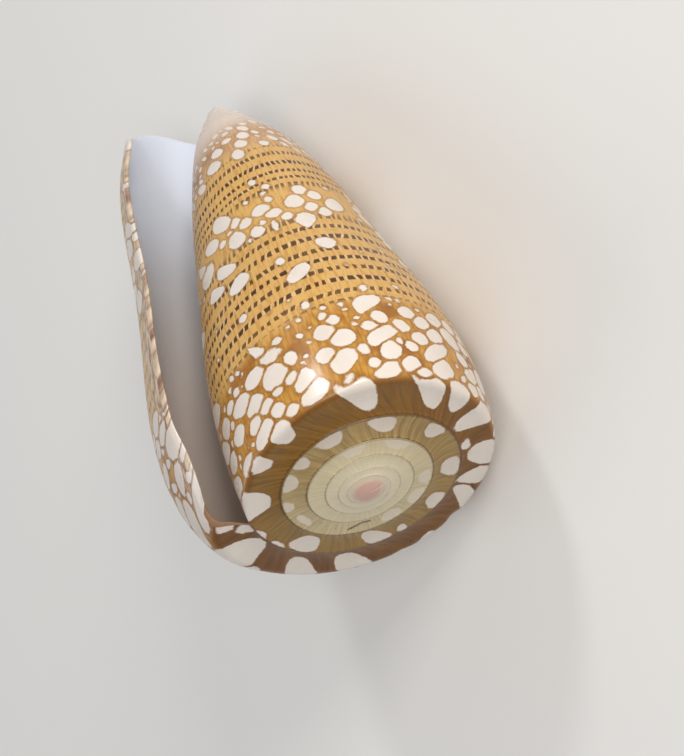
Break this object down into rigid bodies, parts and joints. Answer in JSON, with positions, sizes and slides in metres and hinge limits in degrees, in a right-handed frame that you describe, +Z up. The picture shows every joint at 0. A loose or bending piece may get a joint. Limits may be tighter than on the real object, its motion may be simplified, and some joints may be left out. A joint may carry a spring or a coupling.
{
  "type": "cone shell",
  "caption": "Cone-shaped sea snail shell with a low flat spire, angled shoulder and long slit aperture, glossy ochre and white with brown dots, lying on its back.",
  "frame": {"origin": "middle of the shell's footprint on the floor, at the height of the floor", "axes": "+Z up; the coiling axis lies in the YZ plane, with the spire towards -Y and raised about ten degrees, and the front end towards +Y; the aperture opens upwards"},
  "size_m": [0.0324, 0.0646, 0.0319],
  "materials": {
    "polished_shell": "glossy natural shell, ochre and white pattern outside, porcelain white inside"
  },
  "bodies": {
    "root": {"shell": "polished_shell"}
  },
  "joints": []
}
